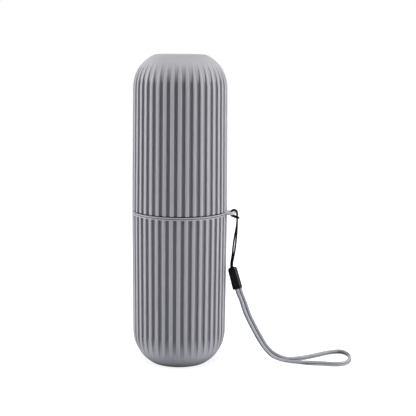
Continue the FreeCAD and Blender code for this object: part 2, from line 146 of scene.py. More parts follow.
# The clip, in a frame of its own: its bottom face at the origin, its length along Z
CLIP_PLACE = (39.7, 0.25, 51.3)
CLIP_YAW = 11.2
CLIP_TILT = -15.5
CLIP_LENGTH = 14.8
CLIP_WIDTH = 6.65
CLIP_DEPTH = 4.9
CLIP_TAPER = 1
CLIP_CORNER = 2
# The least half of a flat side that is left between two corners
CLIP_FLAT = 0.05
# The round shoulder at the clip's top, and the rounded lip and the recess at its bottom
CLIP_CROWN = 1.7
CLIP_LIP = 0.4
CLIP_LIP_HEIGHT = 0.2
CLIP_RECESS = 2.2
# Heights of the body's first rings, and of a shallow groove round it with its depth at each
CLIP_FOOT_RINGS = (0.5, 1.2)
CLIP_GROOVE = ((1.5, 0), (1.62, 0.12), (1.95, 0.12), (2.07, 0))
CLIP_BODY_START = 3
# The slot for the cord: room round the strands, depth, and how its edge opens and how deep that goes
SLOT_ROOM = 0.12
SLOT_DEPTH = 1.5
SLOT_OPENING = 0.15
SLOT_EDGE = 0.12
# The mesh column that carries a painted highlight, on the rounded edge at the front right
CLIP_HIGHLIGHT_COLUMN = 29

# Cord and strap
CORD_DIAMETER = 1.15
# Where the cord's two ends enter the clip, from its middle: across it and through it
CORD_ENDS = ((0.1, -0.5), (-0.75, 0.5))
CORD_SOCKET = 3
CORD_STRAIGHT = 1.2
# Points on each stretch of the smooth lines of cord and strap
CORD_FINENESS = 20
STRAP_FINENESS = 52
STRAP_WIDTH = 3.3
STRAP_THICKNESS = 2.15
# Where the strap's two ends enter the clip, from its middle: across it and through it
STRAP_ENDS = ((-0.85, -0.6), (1.1, 0.6))
STRAP_SOCKET = 6
STRAP_STRAIGHT = 3.2


@dataclass(frozen=True)
class Cup:
    """One half of the case; side is +1 above the parting line and -1 below it.

    Its grooves keep their depth up to the slope called full, and end at the slope called fade.
    """

    side: int
    mouth: float
    end: float
    draft: float
    shoulder_height: float
    shoulder_radius: float
    edge: float
    fade: float
    full: float
    wall: float
    thickness: float
    turn: float


UPPER = Cup(
    side=1,
    mouth=PARTING + SEAM_GAP,
    end=205,
    draft=math.radians(0.49),
    shoulder_height=21.5,
    shoulder_radius=23.2,
    edge=2.5,
    fade=math.radians(54),
    full=math.radians(9),
    wall=2.4,
    thickness=2.4,
    turn=math.radians(-1.25),
)
LOWER = Cup(
    side=-1,
    mouth=PARTING,
    end=0,
    draft=math.radians(0.34),
    shoulder_height=21.5,
    shoulder_radius=25.4,
    edge=1,
    fade=math.radians(36),
    # These grooves thin out from the start of the shoulder
    full=-FADE_STEP,
    wall=UPPER.wall + NECK_CLEARANCE + NECK_WALL,
    thickness=3,
    turn=math.radians(-2.1),
)


# Meshes

def steps(start, end, count):
    """Evenly spaced numbers from start to end, both among them."""
    return [start + (end - start) * i / (count - 1) for i in range(count)]


def new_piece(name, mesh, material):
    piece = bpy.data.objects.new(name, mesh)
    bpy.context.scene.collection.objects.link(piece)
    mesh.materials.append(material)
    return piece


def ring_mesh(name, rows, closed=False, shades=None, sharp=35):
    """A skin over rows of points: each row a ring, or one point where the skin closes."""
    points = [point for row in rows for point in row]
    starts = []
    total = 0
    for row in rows:
        starts.append(total)
        total += len(row)
    faces = []
    pairs = list(zip(range(len(rows)), range(1, len(rows))))
    if closed:
        pairs.append((len(rows) - 1, 0))
    for a, b in pairs:
        count = max(len(rows[a]), len(rows[b]))
        for i in range(count):
            j = (i + 1) % count
            if len(rows[a]) == 1:
                faces.append((starts[a], starts[b] + j, starts[b] + i))
            elif len(rows[b]) == 1:
                faces.append((starts[a] + i, starts[a] + j, starts[b]))
            else:
                faces.append((starts[a] + i, starts[a] + j, starts[b] + j, starts[b] + i))
    mesh = bpy.data.meshes.new(name)
    mesh.from_pydata([Vector(point) * MM for point in points], [], faces)
    builder = bmesh.new()
    builder.from_mesh(mesh)
    bmesh.ops.recalc_face_normals(builder, faces=builder.faces)
    builder.to_mesh(mesh)
    builder.free()
    if shades:
        values = [value for row in shades for value in row]
        mesh.attributes.new("shade", "FLOAT", "POINT").data.foreach_set("value", values)
    mesh.shade_smooth()
    mesh.set_sharp_from_angle(angle=math.radians(sharp))
    mesh.update()
    return mesh


# The cups

def wall_line(cup, inset, thickness, edge, straight, arc_points):
    """One face of a cup's wall, from its mouth to its flat end: radius, height and slope.

    The slope is the angle of the wall's outward direction above (or below) level.
    """
    radius = cup.shoulder_radius - inset * math.cos(cup.draft)
    end = cup.end - cup.side * thickness
    middle_z = cup.end - cup.side * cup.shoulder_height
    lean = math.tan(cup.draft)
    depth = abs(middle_z - cup.mouth)
    middle_x = CREST_RADIUS - lean * depth - cup.shoulder_radius / math.cos(cup.draft)
    drop = abs(end - middle_z) - edge
    rise = math.asin(drop / (radius - edge))
    edge_x = middle_x + (radius - edge) * math.cos(rise)
    run = depth + radius * math.sin(cup.draft)
    line = []
    for along in [*straight, (straight[-1] + run) / 2]:
        line.append((CREST_RADIUS - inset - lean * along, cup.mouth + cup.side * along, cup.draft))
    for slope in steps(cup.draft, rise, arc_points):
        height = middle_z + cup.side * radius * math.sin(slope)
        line.append((middle_x + radius * math.cos(slope), height, slope))
    for slope in steps(rise, math.pi / 2, EDGE_POINTS)[1:]:
        height = end - cup.side * edge * (1 - math.sin(slope))
        line.append((edge_x + edge * math.cos(slope), height, slope))
    for share in FLAT_RINGS:
        line.append((edge_x * share, end, math.pi / 2))
    return line, end


def flute_depth(cup, slope):
    """The depth of a groove on the shoulder, which falls to nothing at the fade angle."""
    thinned = max(0, 1 - (slope - cup.draft) / (cup.fade - cup.draft)) ** FADE_POWER
    past = min(1, max(0, (slope - cup.full) / FADE_STEP))
    return FLUTE_DEPTH * (1 + past * (thinned - 1))


def groove_rise(across):
    """How far a groove's section has risen above its floor, this far from its middle."""
    half = FLUTE_WIDTH / 2
    flat = half - FLUTE_CORNER
    side = FLUTE_DEPTH - FLUTE_CORNER - FLUTE_LIP
    if across <= flat:
        return 0
    if across <= half:
        return FLUTE_CORNER - math.sqrt(FLUTE_CORNER**2 - (across - flat) ** 2)
    if across <= half + FLUTE_LEAN:
        return FLUTE_CORNER + side * (across - half) / FLUTE_LEAN
    past = across - half - FLUTE_LEAN
    lip = min(past, FLUTE_LIP)
    turned = math.sqrt(FLUTE_LIP**2 - (FLUTE_LIP - lip) ** 2)
    return FLUTE_CORNER + side + turned + (past - lip)


def cut_at(depth, across):
    """How deep the surface lies below the crest; where a groove is shallow, its floor is wider."""
    below = FLUTE_DEPTH - groove_rise(across)
    full = 0.5 * (below + math.hypot(below, LIP_SOFTNESS))
    softness = FLOOR_SOFTNESS * depth / FLUTE_DEPTH
    return max(0, 0.5 * (depth + full - math.hypot(depth - full, softness)))


def groove_columns():
    """The mesh columns from a groove's middle to its crest, close together where the section turns."""
    half = FLUTE_WIDTH / 2
    flat = half - FLUTE_CORNER
    quarter = steps(0, math.pi / 2, GROOVE_ARC_POINTS)
    corner = [flat + FLUTE_CORNER * math.sin(turn) for turn in quarter]
    lip = [half + FLUTE_LEAN + FLUTE_LIP * (1 - math.cos(turn)) for turn in quarter]
    return [0, flat / 2, *corner, *lip]


GROOVE_COLUMNS = groove_columns()


def columns(radius):
    """The mesh columns of one flute at this radius: angle and distance from the groove's middle."""
    reach = max(radius, SPOKE_RADIUS)
    last = GROOVE_COLUMNS[-1] / reach
    half = [across / reach for across in GROOVE_COLUMNS]
    half += [last + share * (FLUTE_PITCH / 2 - last) for share in CREST_COLUMNS]
    angles = [-angle for angle in reversed(half[1:-1])] + half
    return [(angle, abs(angle) * reach) for angle in angles]


def fluted_ring(cup, radius, height, slope, depth, edge=0):
    """A ring of points round the fluted wall, and how hollow each is; edge pulls the crests in."""
    ring = []
    hollow = []
    spokes = columns(radius)
    for flute in range(FLUTE_COUNT):
        for angle, across in spokes:
            cut = max(cut_at(depth, across) if depth else 0, edge)
            out = radius - math.cos(slope) * cut
            up = height - cup.side * math.sin(slope) * cut
            turn = cup.turn + flute * FLUTE_PITCH + angle
            ring.append((out * math.cos(turn), out * math.sin(turn), up))
            hollow.append(min(1, cut / FLUTE_DEPTH))
    return ring, hollow


def plain_ring(cup, radius, height, shade=0):
    """A ring of points without flutes, on the columns of the fluted ones, and its shade."""
    ring = fluted_ring(cup, radius, height, 0, 0)[0]
    return ring, [shade] * len(ring)


def round_over(along, edge):
    """How far a rounded edge of this radius has drawn in, this far along from its end."""
    if along >= edge:
        return 0
    return edge - math.sqrt(edge**2 - (edge - along) ** 2)


def outer_rings(cup, straight, depth_at, edge_at):
    """The rings of a cup's fluted outside, and the middle of its flat end."""
    line, end = wall_line(cup, 0, 0, cup.edge, straight, OUTER_ARC_POINTS)
    rings = []
    for radius, height, slope in line:
        along = abs(height - cup.mouth)
        depth = depth_at(along) if slope == cup.draft else flute_depth(cup, slope)
        rings.append(fluted_ring(cup, radius, height, slope, depth, edge_at(along)))
    return rings, ([(0, 0, end)], [0])


def inner_rings(cup):
    """The rings of a cup's plain inside, and the middle of its flat end."""
    line, end = wall_line(cup, cup.wall, cup.thickness, INNER_EDGE, INNER_MOUTH_RINGS, INNER_ARC_POINTS)
    rings = [plain_ring(cup, radius, height) for radius, height, _ in line]
    return rings, ([(0, 0, end)], [0])


def cup_mesh(name, rings):
    rows, shades = zip(*rings)
    return ring_mesh(name, rows, shades=shades)


def upper_mesh():
    """The upper cup: flutes that run out through its round-edged mouth, and a plain inside."""
    outer, top = outer_rings(
        UPPER, MOUTH_RINGS, lambda along: FLUTE_DEPTH, lambda along: round_over(along, MOUTH_EDGE)
    )
    inner, roof = inner_rings(UPPER)
    return cup_mesh("upper_shell", [top, *reversed(outer), *inner, roof])


def neck_line():
    """The line from the rim's top through the channel and over the neck: radius, height and painted shade.
    """
    land = CREST_RADIUS - RIM_LAND
    channel = PARTING - CHANNEL_DEPTH
    outside = CREST_RADIUS - UPPER.wall - NECK_CLEARANCE
    lean = math.tan(UPPER.draft)
    tip = outside - lean * NECK_HEIGHT
    top = PARTING + NECK_HEIGHT
    return [
        (land, PARTING, 0),
        (land - CHANNEL_BEVEL, PARTING - CHANNEL_BEVEL, SEAM_SHADE),
        (land - CHANNEL_LEAN, channel, SEAM_SHADE),
        (outside + CHANNEL_BEVEL, channel, SEAM_SHADE),
        (outside, channel + CHANNEL_BEVEL, SEAM_SHADE),
        (outside, PARTING + SEAM_GAP, SEAM_SHADE),
        (outside, PARTING + 3 * SEAM_GAP, 0),
        (outside - lean * (NECK_HEIGHT - NECK_LEAD_IN), top - NECK_LEAD_IN, 0),
        (tip - NECK_TURN_IN, top - NECK_TURN_DOWN, 0),
        (tip - NECK_LEAD_IN, top, 0),
        (outside - NECK_WALL + math.tan(LOWER.draft) * NECK_HEIGHT, top, 0),
    ]


def lower_mesh():
    """The lower cup: flutes below a plain rim band, the neck for the upper cup, and a plain inside."""
    ledge = RIM_HEIGHT + LEDGE_DROP
    line_start, line_end = RIM_LINE
    band = [*RIM_EDGE_RINGS, line_start, line_start + RIM_LINE_WALL, line_end - RIM_LINE_WALL, line_end]
    band += [RIM_HEIGHT - RIM_FOOT_RING, RIM_HEIGHT, ledge, *[ledge + drop for drop in LEDGE_RINGS]]

    def in_line(along):
        return line_start + RIM_LINE_WALL / 2 < along < line_end - RIM_LINE_WALL / 2

    def depth_at(along):
        return FLUTE_DEPTH if along > RIM_HEIGHT + LEDGE_DROP / 2 else 0

    def edge_at(along):
        return RIM_LINE_DEPTH if in_line(along) else round_over(along, RIM_EDGE)

    outer, base = outer_rings(LOWER, band, depth_at, edge_at)
    # Painted shade: the rim's fine line gets a dark colour besides its real depth
    for along, (ring, hollow) in zip(band, outer):
        if in_line(along):
            hollow[:] = [RIM_LINE_SHADE] * len(ring)
    neck = [plain_ring(LOWER, radius, height, shade) for radius, height, shade in neck_line()]
    inner, floor = inner_rings(LOWER)
    return cup_mesh("lower_shell", [base, *reversed(outer), *neck, *inner, floor])


# The lug

def rounded_box(left, right, half, left_corner, right_corner):
    """Points round a box in plan, a quarter circle at each corner."""
    corners = [
        (right, half, right_corner, 0),
        (left, half, left_corner, 1),
        (left, -half, left_corner, 2),
        (right, -half, right_corner, 3),
    ]
    points = []
    for x, y, radius, quarter in corners:
        middle_x = x - math.copysign(radius, x - (left + right) / 2)
        middle_y = y - math.copysign(radius, y)
        for turn in steps(quarter * math.pi / 2, (quarter + 1) * math.pi / 2, CORNER_POINTS):
            corner_x = middle_x + radius * math.cos(turn)
            corner_y = middle_y + radius * math.sin(turn)
            points.append(Vector((corner_x, corner_y, 0)))
    return points


def lug_mesh():
    """A flat eye with rounded edges: a rounded section carried round between its outline and its hole."""
    outline = rounded_box(LUG_ROOT, LUG_TIP, LUG_HALF_WIDTH, LUG_ROOT_CORNER, LUG_TIP_CORNER)
    hole = rounded_box(*LUG_HOLE, LUG_HOLE_HALF, LUG_HOLE_CORNER, LUG_HOLE_CORNER)
    quarter = steps(0, math.pi / 2, LUG_EDGE_POINTS)
    section = []
    for side, turns in ((0, quarter), (1, reversed(quarter))):
        for turn in turns:
            height = LUG_HIGH - LUG_EDGE * (1 - math.sin(turn))
            section.append((side, LUG_EDGE * (1 - math.cos(turn)), height))
    low = [(side, inset, LUG_LOW + LUG_HIGH - height) for side, inset, height in reversed(section)]
    rows = []
    for side, inset, height in section + low:
        row = []
        for edge, rim in zip(outline, hole):
            start, toward = (edge, rim) if side == 0 else (rim, edge)
            point = start + (toward - start).normalized() * inset
            row.append((point.x, point.y, height))
        rows.append(row)
    return ring_mesh("lug", rows, closed=True)


# The lanyard

def clip_matrix():
    yaw = Matrix.Rotation(math.radians(CLIP_YAW), 4, "Z")
    tilt = Matrix.Rotation(math.radians(CLIP_TILT), 4, "Y")
    return Matrix.Translation(CLIP_PLACE) @ yaw @ tilt


def clip_point(across, deep, along):
    return tuple(clip_matrix() @ Vector((across, deep, along)))


# The hitch on the far side of the lug, from the middle of the lug's bar; the near side mirrors it
BAR = (36.6, 0, 101.75)
HITCH = [
    (2.1, 0.56, 1.0),
    (1.0, 0.56, 2.4),
    (-0.9, 0.56, 2.4),
    (-2.1, 0.6, 1.1),
    (-2.1, 0.75, -0.8),
    (-0.9, 1.3, -1.65),
    (0.6, 1.65, -2.0),
    (2.4, 1.6, -2.65),
    (3.2, 0.75, -2.85),
]
# The two hanging strands, from the clip up
FAR_STRAND = [
    (37.1, -0.6, 73.6),
    (37.9, -0.25, 79.5),
    (38.4, 0.25, 86),
    (38.7, 0.56, 92),
    (38.7, 0.6, 97),
    (38.75, 0.58, 100.3),
]
NEAR_STRAND = [
    (36.0, -0.35, 73.6),
    (36.4, -0.45, 79.5),
    (37.25, -0.55, 86),
    (38.4, -0.6, 92),
    (38.95, -0.56, 97),
    (38.75, -0.6, 100.3),
]
# The strap from the clip down its near strand, round the loop on the floor and up its far strand
STRAP = [
    (42.2, 0.1, 43.3),
    (44.5, 0.6, 35.0),
    (49.4, 1.5, 25.1),
    (54.8, 2.4, 15.0),
    (60.0, 3.2, 7.9),
    (65.0, 4.5, 3.6),
    (72.7, 6.2, 1.55),
    (80.7, 5.5, 1.5),
    (89.2, 5.4, 1.6),
    (97.7, 5.9, 1.7),
    (107.2, 5.9, 1.72),
    (112.9, 10.3, 1.75),
    (114.5, 19.0, 1.75),
    (112.9, 29.6, 1.75),
    (106.7, 37.0, 1.72),
    (98.7, 32.2, 1.7),
    (91.7, 24.4, 1.65),
    (84.7, 17.2, 1.6),
    (78.0, 12.2, 1.6),
    (71.8, 8.6, 2.0),
    (64.2, 7.8, 5.0),
    (59.0, 7.3, 9.7),
    (55.1, 6.6, 16.2),
    (51.0, 5.4, 24.1),
    (47.0, 4.0, 32.5),
    (44.1, 2.3, 42.2),
]


def cord_route():
    over = [tuple(Vector(BAR) + Vector(point)) for point in HITCH]
    back = [tuple(Vector(BAR) + Vector((x, -y, z))) for x, y, z in reversed(HITCH)]
    levels = (CLIP_LENGTH - CORD_SOCKET, CLIP_LENGTH + CORD_STRAIGHT)
    first, last = CORD_ENDS
    start = [clip_point(*first, level) for level in levels]
    finish = [clip_point(*last, level) for level in reversed(levels)]
    return start + FAR_STRAND + over + back + NEAR_STRAND[::-1] + finish


def strap_route():
    levels = (STRAP_SOCKET, -STRAP_STRAIGHT)
    first, last = STRAP_ENDS
    start = [clip_point(*first, level) for level in levels]
    finish = [clip_point(*last, level) for level in reversed(levels)]
    return start + STRAP + finish


def spline_line(route, fineness):
    """Points of the smooth line that a route's control points draw, in millimetres."""
    curve = bpy.data.curves.new("route", "CURVE")
    curve.dimensions = "3D"
    curve.resolution_u = fineness
    spline = curve.splines.new("NURBS")
    spline.points.add(len(route) - 1)
    for control, point in zip(spline.points, route):
        control.co = (*point, 1)
    spline.order_u = 3
    spline.use_endpoint_u = True
    carrier = bpy.data.objects.new("route", curve)
    bpy.context.scene.collection.objects.link(carrier)
    drawn = bpy.data.meshes.new_from_object(carrier)
    points = [vertex.co.copy() for vertex in drawn.vertices]
    bpy.data.objects.remove(carrier)
    bpy.data.meshes.remove(drawn)
    return points


def lengths_along(line):
    total = 0
    along = [0]
    for a, b in zip(line, line[1:]):
        total += (b - a).length
        along.append(total)
    return along


def tangents(line):
    ends = [line[0], *line, line[-1]]
    return [(after - before).normalized() for before, after in zip(ends, ends[2:])]


def carried_frames(line, side):
    """Two cross directions at each point of a line, turning no more than the line does."""
    frames = []
    for tangent in tangents(line):
        side = (side - tangent * side.dot(tangent)).normalized()
        frames.append((side, tangent.cross(side)))
    return frames


def cord_mesh(line):
    """A fine round braid: two families of strands wound opposite ways."""
    around = 18
    strands = 3
    lay = 2.2
    relief = 0.05
    mean_height = 0.6
    frames = carried_frames(line, Vector((0, 1, 0)))
    rows = []
    shades = []
    for point, along, (side, other) in zip(line, lengths_along(line), frames):
        row = []
        shade = []
        wind = 2 * math.pi * along / lay
        for step in range(around):
            turn = 2 * math.pi * step / around
            height = max(math.cos(strands * turn + wind), math.cos(strands * turn - wind))
            radius = CORD_DIAMETER / 2 + relief * (height - mean_height)
            out = side * (radius * math.cos(turn)) + other * (radius * math.sin(turn))
            row.append(tuple(point + out))
            shade.append(0.5 + 0.5 * height)
        rows.append(row)
        shades.append(shade)
    return capped(rows, shades, "braided_cord", line)


def capped(rows, shades, name, line):
    """A tube's mesh with its two ends closed."""
    rows = [[tuple(line[0])], *rows, [tuple(line[-1])]]
    shades = [[0.5], *shades, [0.5]]
    return ring_mesh(name, rows, shades=shades, sharp=80)


# The strap leaves the clip with its wide side turned this far from the clip's face, near end and far end
NEAR_TURN = math.radians(64)
FAR_TURN = math.radians(10)
# How far its top edge leans round the loop, inward where negative
LOOP_LEAN = math.radians(-18)
# How much of the painted light on its edges its two flat faces get, which paints the faces darker
FACE_SHADE = 0.6
# How square its section is: 1 is an oval, and less is nearer to a box
SECTION_POWER = 0.75
# Where it turns from that to standing on its edge, as lengths from its near end and from its far end
NEAR_TWIST = (72, 92)
FAR_TWIST = (86, 104)


def squared(direction, tangent):
    """A direction made square to a line that runs along the tangent."""
    return (direction - tangent * direction.dot(tangent)).normalized()


def strap_side(tangent, turn, lying):
    """The strap's wide direction: turned as at the clip, and nearly upright where it lies on its edge."""
    yaw = math.radians(CLIP_YAW)
    right = Vector((math.cos(yaw), math.sin(yaw), 0))
    back = Vector((-math.sin(yaw), math.cos(yaw), 0))
    upright = Vector((0, 0, 1))
    lean = upright + tangent.cross(upright) * math.tan(LOOP_LEAN) * lying
    if lying == 1:
        return squared(lean, tangent)
    down = tangent if tangent.dot(right - upright) > 0 else -tangent
    outward = squared(right * -down.z + upright * down.dot(right), tangent)
    turned = outward * math.cos(turn) - squared(back, tangent) * math.sin(turn)
    return squared(turned * (1 - lying) + lean * lying, tangent)


def smooth_share(value, low, high):
    share = min(1, max(0, (value - low) / (high - low)))
    return share * share * (3 - 2 * share)


def rounded(value):
    """Moves a point of a circle outward, towards the corners of a box round it."""
    return math.copysign(abs(value) ** SECTION_POWER, value)


def strap_mesh(line):
    """A flat knitted tube: columns of V stitches round an oval section."""
    stitch_columns = 8
    per_column = 6
    stitch = 0.85
    relief = 0.2
    wale_power = 2.5
    slant = 2.6
    vee_share = 0.65
    around = stitch_columns * per_column
    along = lengths_along(line)
    rows = []
    shades = []
    for point, here, tangent in zip(line, along, tangents(line)):
        lying = min(smooth_share(here, *NEAR_TWIST), smooth_share(along[-1] - here, *FAR_TWIST))
        turn = NEAR_TURN if here < along[-1] / 2 else FAR_TURN
        wide = strap_side(tangent, turn, lying)
        thin = tangent.cross(wide)
        row = []
        shade = []
        for step in range(around):
            angle = 2 * math.pi * (step + 0.5) / around
            place = 2 * ((step + 0.5) / per_column % 1) - 1
            wale = 1 - abs(place) ** wale_power
            vee = 0.5 + 0.5 * math.cos(2 * math.pi * here / stitch + slant * abs(place))
            height = wale * (1 - vee_share + vee_share * vee)
            lift = relief * (height - 1)
            # Painted light on the narrow edges, painted shade on the flat faces
            painted_edge_light = FACE_SHADE + (1 - FACE_SHADE) * math.cos(angle) ** 2
            across = rounded(math.cos(angle)) * (STRAP_WIDTH / 2 + lift)
            deep = rounded(math.sin(angle)) * (STRAP_THICKNESS / 2 + lift)
            row.append(tuple(point + wide * across + thin * deep))
            shade.append(height * painted_edge_light)
        rows.append(row)
        shades.append(shade)
    return capped(rows, shades, "knit_strap", line)


def clip_mesh():
    """The moulded sleeve: a tapered body, a round shoulder, and open ends for the cord and the strap."""
    taper = math.tan(math.radians(CLIP_TAPER))
    first, last = CORD_ENDS
    middle = (first[0] + last[0]) / 2
    shoulder = CLIP_LENGTH - CLIP_CROWN

    def section(along, inset):
        half_width = CLIP_WIDTH / 2 - taper * along - inset
        half_depth = CLIP_DEPTH / 2 - taper * along - inset
        corner = min(CLIP_CORNER, half_width - CLIP_FLAT, half_depth - CLIP_FLAT)
        ring = rounded_box(-half_width, half_width, half_depth, corner, corner)
        return [clip_point(point.x, point.y, along) for point in ring]

    def slot(along, grow):
        room = CORD_DIAMETER / 2 + SLOT_ROOM + grow
        half_width = abs(first[0] - last[0]) / 2 + room
        half_depth = abs(first[1] - last[1]) / 2 + room
        ring = rounded_box(-half_width, half_width, half_depth, 0.9 * room, 0.9 * room)
        return [clip_point(point.x + middle, point.y, along) for point in ring]

    rows = [[clip_point(0, 0, CLIP_RECESS)]]
    rows.append(section(CLIP_RECESS, CLIP_LIP + 0.1))
    rows.append(section(CLIP_LIP_HEIGHT + 0.05, CLIP_LIP))
    for turn in steps(0, math.pi, 7):
        inset = CLIP_LIP / 2 + CLIP_LIP / 2 * math.cos(turn)
        rows.append(section(CLIP_LIP_HEIGHT * (1 - math.sin(turn)), inset))
    body_start = len(rows)
    rows += [section(along, 0) for along in CLIP_FOOT_RINGS]
    rows += [section(along, inset) for along, inset in CLIP_GROOVE]
    rows += [section(along, 0) for along in steps(CLIP_BODY_START, shoulder, 6)]
    for turn in steps(0, math.pi / 2, 9)[1:]:
        rows.append(section(shoulder + CLIP_CROWN * math.sin(turn), CLIP_CROWN * (1 - math.cos(turn))))
    body_end = len(rows) - 2
    rows.append(slot(CLIP_LENGTH, SLOT_OPENING))
    rows.append(slot(CLIP_LENGTH - SLOT_EDGE, 0))
    rows.append(slot(CLIP_LENGTH - SLOT_DEPTH, 0))
    rows.append([clip_point(middle, 0, CLIP_LENGTH - SLOT_DEPTH)])
    shades = [[0] * len(row) for row in rows]
    # Painted highlight: one column of the body's rings is marked for a paler colour
    for shade in shades[body_start:body_end]:
        shade[CLIP_HIGHLIGHT_COLUMN] = 1
    return ring_mesh("sleeve_clip", rows, shades=shades, sharp=50)


# Materials

# Most of a noise texture's values lie between these
NOISE_RANGE = (0.3, 0.7)


def node(tree, kind, inputs=None, **properties):
    """A shader node with its settings; an input is a value or another node's output."""
    item = tree.nodes.new(kind)
    for name, value in properties.items():
        setattr(item, name, value)
    for name, value in (inputs or {}).items():
        if isinstance(value, bpy.types.NodeSocket):
            tree.links.new(value, item.inputs[name])
        else:
            item.inputs[name].default_value = value
    return item


def new_material(name, **values):
    """A material with its constant settings, its node tree and its main shader."""
    material = bpy.data.materials.new(name)
    material.use_nodes = True
    shader = material.node_tree.nodes["Principled BSDF"]
    for key, value in values.items():
        shader.inputs[key.replace("_", " ")].default_value = value
    return material, material.node_tree, shader


def linear(red, green, blue):
    """A colour as it shows on a screen, 0 to 255, as the renderer's own values."""
    parts = [part / 255 for part in (red, green, blue)]
    return (*[part / 12.92 if part <= 0.04045 else ((part + 0.055) / 1.055) ** 2.4 for part in parts], 1)


def noise(tree, scale, detail=2, roughness=0.5):
    place = node(tree, "ShaderNodeTexCoord").outputs["Object"]
    texture = node(tree, "ShaderNodeTexNoise", {"Vector": place, "Scale": scale, "Detail": detail})
    texture.inputs["Roughness"].default_value = roughness
    return texture.outputs["Fac"]


def colour_between(tree, share, first, second):
    """A colour that goes from first to second with share, each a colour or an output."""
    mix = node(tree, "ShaderNodeMix", data_type="RGBA")
    colours = [socket for socket in mix.inputs if socket.type == "RGBA"]
    tree.links.new(share, mix.inputs[0])
    for socket, value in zip(colours, (first, second)):
        if isinstance(value, bpy.types.NodeSocket):
            tree.links.new(value, socket)
        else:
            socket.default_value = value
    return next(socket for socket in mix.outputs if socket.type == "RGBA")


def remapped(tree, value, low, high, to_low, to_high):
    inputs = {"Value": value, "From Min": low, "From Max": high, "To Min": to_low, "To Max": to_high}
    return node(tree, "ShaderNodeMapRange", inputs).outputs["Result"]


def shade_of(tree):
    return node(tree, "ShaderNodeAttribute", attribute_name="shade").outputs["Fac"]


def bumped(tree, height, distance, strength=1):
    inputs = {"Height": height, "Distance": distance, "Strength": strength}
    return node(tree, "ShaderNodeBump", inputs).outputs["Normal"]


def link_surface(tree, shader, colour, roughness, normal):
    """Links a material's colour, roughness and fine relief to its shader."""
    for name, output in (("Base Color", colour), ("Roughness", roughness), ("Normal", normal)):
        tree.links.new(output, shader.inputs[name])


def case_plastic(name, light, dark):
    """Satin moulded plastic: a fine grain, faint clouds, painted shade on the groove floors and in the rim's
    line, and a parting line painted nearly black as shade.
    """
    material, tree, shader = new_material(name, Specular_IOR_Level=0.3)
    cloud = remapped(tree, noise(tree, 45, 3), *NOISE_RANGE, 0, 1)
    face = colour_between(tree, cloud, light, dark)
    # Painted shade: the deeper a point lies in a groove, the darker its colour
    hollow = remapped(tree, shade_of(tree), 0.15, 1, 0, 1)
    fluted = colour_between(tree, hollow, face, linear(131, 130, 134))
    # Painted shade: faces in the parting channel and at the neck's foot go nearly black
    painted_seam_shade = remapped(tree, shade_of(tree), 1, SEAM_SHADE, 0, 1)
    colour = colour_between(tree, painted_seam_shade, fluted, linear(40, 40, 42))
    grain = noise(tree, 2600, 3, 0.6)
    roughness = remapped(tree, grain, *NOISE_RANGE, 0.36, 0.5)
    link_surface(tree, shader, colour, roughness, bumped(tree, grain, 0.00002, 0.5))
    return material


def black_braid():
    """Black nylon cord: painted shade and a duller surface between its strands, a soft sheen along them."""
    material, tree, shader = new_material("black_braid", Specular_IOR_Level=0.05)
    strand = shade_of(tree)
    # Painted shade: the lower the braid's surface, the darker its colour
    colour = colour_between(tree, strand, linear(8, 8, 9), linear(24, 24, 26))
    roughness = remapped(tree, strand, 0, 1, 0.8, 0.5)
    fibre = noise(tree, 9000, 2)
    link_surface(tree, shader, colour, roughness, bumped(tree, fibre, 0.00002, 0.4))
    return material


def clip_plastic():
    """Black moulded plastic with a satin surface, faint handling marks and a painted highlight along one
    edge.
    """
    material, tree, shader = new_material("clip_plastic", Specular_IOR_Level=0.1)
    cloud = remapped(tree, noise(tree, 400, 3), *NOISE_RANGE, 0, 1)
    face = colour_between(tree, cloud, linear(9, 9, 10), linear(14, 14, 16))
    # Painted highlight along the front right edge, broken up by noise
    highlight_breakup = remapped(tree, noise(tree, 700, 3), 0.3, 0.6, 0.6, 1)
    painted_highlight = node(tree, "ShaderNodeMath", {0: shade_of(tree), 1: highlight_breakup}, operation="MULTIPLY").outputs[0]
    colour = colour_between(tree, painted_highlight, face, linear(112, 112, 116))
    grain = noise(tree, 5000, 3, 0.6)
    roughness = remapped(tree, grain, *NOISE_RANGE, 0.34, 0.5)
    link_surface(tree, shader, colour, roughness, bumped(tree, grain, 0.00002, 0.12))
    return material


def strap_knit():
    """Grey knitted yarn: painted shade between the stitches and on the flat faces, fibres along the yarn."""
    material, tree, shader = new_material("strap_knit", Specular_IOR_Level=0.2, Sheen_Weight=0.2)
    yarn = remapped(tree, noise(tree, 900, 4, 0.65), *NOISE_RANGE, 0, 1)
    face = colour_between(tree, yarn, linear(248, 249, 253), linear(234, 235, 242))
    # Painted shade and light: the dark colour goes between the stitches and over the flat faces, the pale
    # one on the edges
    stitch = remapped(tree, shade_of(tree), 0, 0.7, 0, 1)
    colour = colour_between(tree, stitch, linear(58, 59, 64), face)
    roughness = remapped(tree, yarn, 0, 1, 0.72, 0.9)
    fibre = noise(tree, 7000, 3)
    link_surface(tree, shader, colour, roughness, bumped(tree, fibre, 0.00004, 0.6))
    return material


# The object

def place(piece, body, slot, *nodes):
    """Puts a piece on its body and hides the solids it stands for."""
    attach(piece, body)
    if nodes:
        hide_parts(*nodes)


plastic = case_plastic("case_plastic", linear(185, 184, 188), linear(180, 179, 184))
# The lug gets a paler copy of the case plastic: painted light on its front, which the lamps leave in shade
lug_painted_light_plastic = case_plastic("lug_painted_light_plastic", linear(220, 221, 225), linear(212, 213, 218))
place(new_piece("upper_shell", upper_mesh(), plastic), "upper_half", "case_plastic", "upper_cup")
place(new_piece("lower_shell", lower_mesh(), plastic), "lower_half", "case_plastic", "lower_cup")
place(new_piece("lug", lug_mesh(), lug_painted_light_plastic), "lower_half", "case_plastic")

